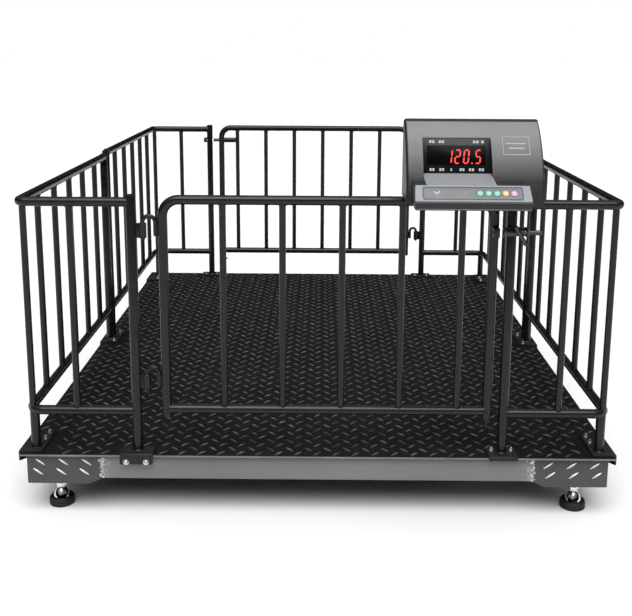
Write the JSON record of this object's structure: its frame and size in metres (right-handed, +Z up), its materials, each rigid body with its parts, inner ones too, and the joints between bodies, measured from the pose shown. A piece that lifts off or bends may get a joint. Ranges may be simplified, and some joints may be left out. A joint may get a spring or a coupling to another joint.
{
  "type": "animal weighing scale",
  "caption": "Livestock floor scale: tread-plate deck on levelling feet, tube pen with a swinging gate at each end, slide bolts and a red-digit indicator on the latch post.",
  "frame": {"origin": "middle of the bounding box's base, on the floor", "axes": "+X to the right, +Y to the back, +Z up; the indicator is at the front, -Y"},
  "size_m": [1.2086, 1.6562, 0.811],
  "materials": {
    "deck_plate": "satin black tread plate",
    "black_tube": "semi-gloss black powder coat",
    "frame_grey": "satin grey paint",
    "corner_grey": "satin dark grey paint on tread plate",
    "cell_steel": "nickel-plated",
    "junction_alloy": "die-cast, matt",
    "black_nylon": "moulded",
    "foot_rubber": "moulded",
    "foot_chrome": "polished",
    "housing_grey": "fine moulded texture",
    "display_window": "smoked, gloss",
    "circuit_board": "solder resist",
    "battery_black": "moulded",
    "keypad_grey": "membrane film",
    "button_green": "membrane film",
    "button_orange": "membrane film",
    "button_violet": "membrane film"
  },
  "bodies": {
    "platform": {"deck_plate": "deck_plate", "front_beam": "frame_grey", "back_beam": "frame_grey", "left_beam": "frame_grey", "right_beam": "frame_grey", "front_cross_beam": "frame_grey", "back_cross_beam": "frame_grey", "corner_box_front_left": "corner_grey", "corner_box_front_right": "corner_grey", "corner_box_back_left": "corner_grey", "corner_box_back_right": "corner_grey", "load_cell_front_left": "cell_steel", "load_cell_front_right": "cell_steel", "load_cell_back_left": "cell_steel", "load_cell_back_right": "cell_steel", "junction_box": "junction_alloy", "junction_box_gland": "black_nylon", "fence_front_left": "black_tube", "fence_front_right": "black_tube", "fence_back_left": "black_tube", "fence_back_right": "black_tube", "front_hinge_sleeve_lower": "black_tube", "front_hinge_sleeve_upper": "black_tube", "back_hinge_sleeve_lower": "black_tube", "back_hinge_sleeve_upper": "black_tube", "front_bolt_guide": "black_tube", "back_bolt_keeper": "black_tube", "indicator_case": "housing_grey", "indicator_back_cover": "housing_grey", "indicator_gland": "black_nylon", "indicator_bracket": "black_tube", "display_window": "display_window", "display_board": "circuit_board", "keypad_panel": "keypad_grey", "main_board": "circuit_board", "battery": "battery_black"},
    "front_gate_body": {"front_gate": "black_tube", "front_hinge_pin_lower": "black_tube", "front_hinge_pin_upper": "black_tube", "front_bolt_keeper": "black_tube"},
    "back_gate_body": {"back_gate": "black_tube", "back_hinge_pin_lower": "black_tube", "back_hinge_pin_upper": "black_tube", "back_bolt_sleeve": "black_tube"},
    "front_bolt_body": {"front_bolt": "black_tube"},
    "back_bolt_body": {"back_bolt": "black_tube"},
    "button_zero_body": {"button_zero": "button_green"},
    "button_tare_body": {"button_tare": "button_green"},
    "button_total_body": {"button_total": "button_green"},
    "button_print_body": {"button_print": "button_orange"},
    "button_power_body": {"button_power": "button_violet"},
    "foot_front_left": {"foot_stud_front_left": "foot_chrome", "foot_pad_front_left": "foot_rubber"},
    "foot_front_right": {"foot_stud_front_right": "foot_chrome", "foot_pad_front_right": "foot_rubber"},
    "foot_back_left": {"foot_stud_back_left": "foot_chrome", "foot_pad_back_left": "foot_rubber"},
    "foot_back_right": {"foot_stud_back_right": "foot_chrome", "foot_pad_back_right": "foot_rubber"}
  },
  "joints": [
    {"name": "front_gate_swing", "type": "hinge", "parent": "platform", "child": "front_gate_body", "pos_m": [-0.342, -0.65215, 0.432], "axis": [0, 0, 1], "range_deg": [-120, 100]},
    {"name": "back_gate_swing", "type": "hinge", "parent": "platform", "child": "back_gate_body", "pos_m": [0.342, 0.79985, 0.432], "axis": [0, 0, 1], "range_deg": [-120, 100]},
    {"name": "front_bolt_slide", "type": "slide", "parent": "platform", "child": "front_bolt_body", "axis": [-1, 0, 0], "range_m": [0, 0.02]},
    {"name": "back_bolt_slide", "type": "slide", "parent": "back_gate_body", "child": "back_bolt_body", "axis": [-1, 0, 0], "range_m": [0, 0.027]},
    {"name": "button_zero_press", "type": "slide", "parent": "platform", "child": "button_zero_body", "axis": [0, 0.7291, -0.6844], "range_m": [0, 0.001], "stiffness_N_per_m": 400},
    {"name": "button_tare_press", "type": "slide", "parent": "platform", "child": "button_tare_body", "axis": [0, 0.7291, -0.6844], "range_m": [0, 0.001], "stiffness_N_per_m": 400},
    {"name": "button_total_press", "type": "slide", "parent": "platform", "child": "button_total_body", "axis": [0, 0.7291, -0.6844], "range_m": [0, 0.001], "stiffness_N_per_m": 400},
    {"name": "button_print_press", "type": "slide", "parent": "platform", "child": "button_print_body", "axis": [0, 0.7291, -0.6844], "range_m": [0, 0.001], "stiffness_N_per_m": 400},
    {"name": "button_power_press", "type": "slide", "parent": "platform", "child": "button_power_body", "axis": [0, 0.7291, -0.6844], "range_m": [0, 0.001], "stiffness_N_per_m": 400},
    {"name": "foot_front_left_turn", "type": "hinge", "parent": "platform", "child": "foot_front_left", "pos_m": [-0.534, -0.62015, 0.05], "axis": [0, 0, 1], "continuous": true},
    {"name": "foot_front_right_turn", "type": "hinge", "parent": "platform", "child": "foot_front_right", "pos_m": [0.534, -0.62015, 0.05], "axis": [0, 0, 1], "continuous": true},
    {"name": "foot_back_left_turn", "type": "hinge", "parent": "platform", "child": "foot_back_left", "pos_m": [-0.534, 0.76785, 0.05], "axis": [0, 0, 1], "continuous": true},
    {"name": "foot_back_right_turn", "type": "hinge", "parent": "platform", "child": "foot_back_right", "pos_m": [0.534, 0.76785, 0.05], "axis": [0, 0, 1], "continuous": true}
  ]
}
